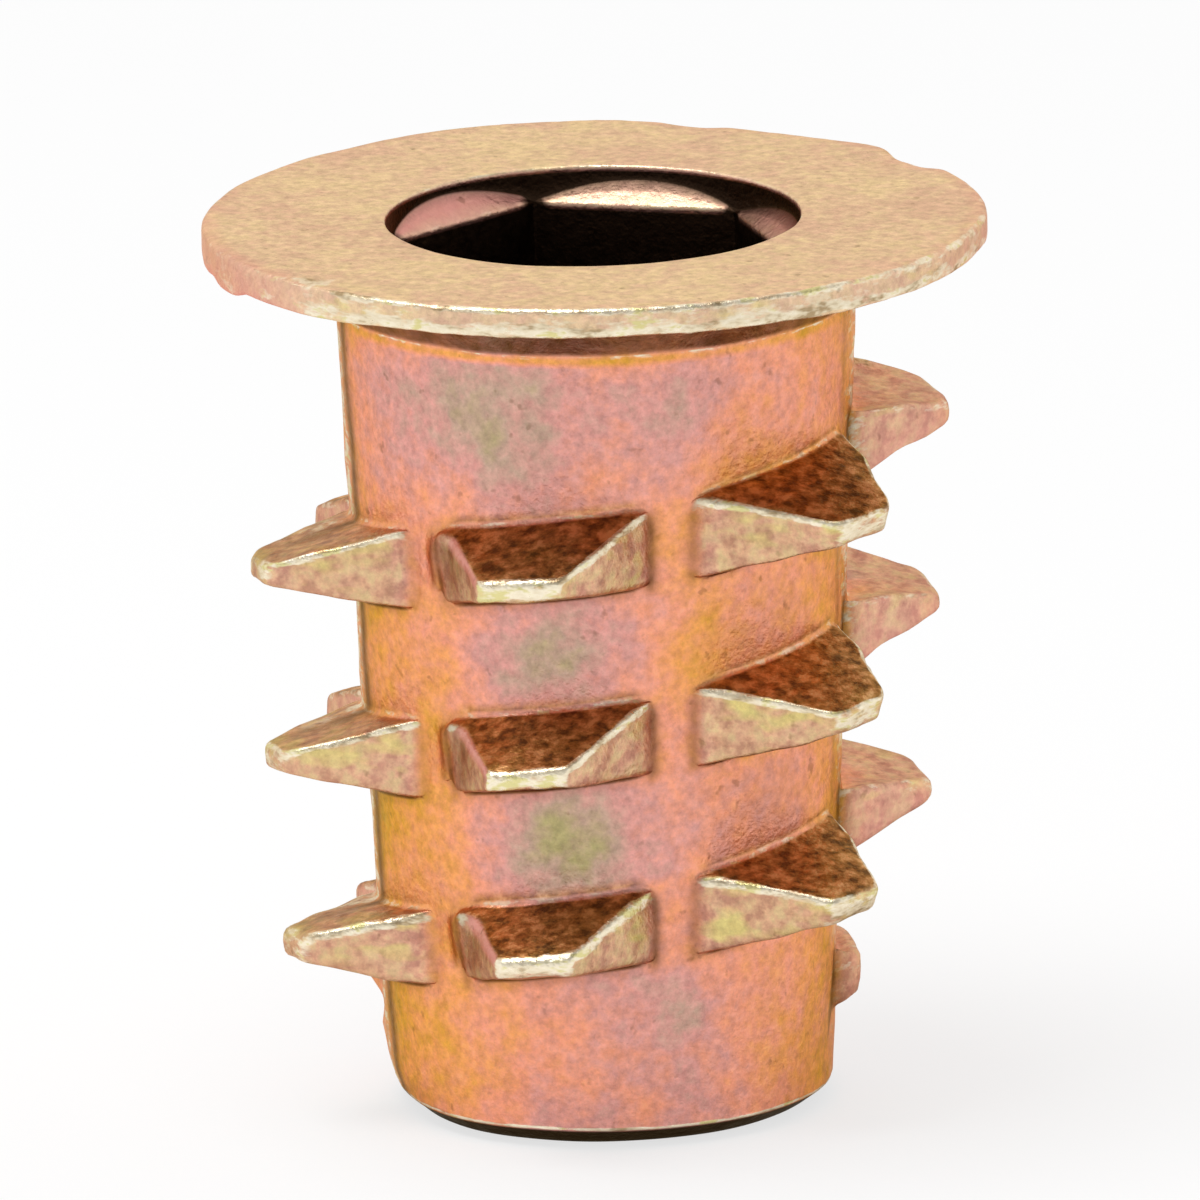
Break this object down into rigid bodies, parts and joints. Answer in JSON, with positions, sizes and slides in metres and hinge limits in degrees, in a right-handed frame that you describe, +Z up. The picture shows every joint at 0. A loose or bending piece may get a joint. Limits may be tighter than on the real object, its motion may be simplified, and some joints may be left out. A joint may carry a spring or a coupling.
{
  "type": "threaded insert",
  "caption": "Flanged threaded insert for wood: cast barrel with a coarse broken outer thread, a hexagonal driving socket and a metric threaded bore.",
  "frame": {"origin": "centre of the lower end face, on the axis, on the plane that the insert stands on", "axes": "+Z up the axis from the lower end to the flange; a column of teeth and a flat of the hexagon face -Y, and two corners of the hexagon lie on X"},
  "size_m": [0.0175, 0.0174, 0.0203],
  "materials": {
    "plated_zinc": "satin yellow zinc plating on a die casting, iridescent"
  },
  "bodies": {
    "root": {"insert": "plated_zinc"}
  },
  "joints": []
}
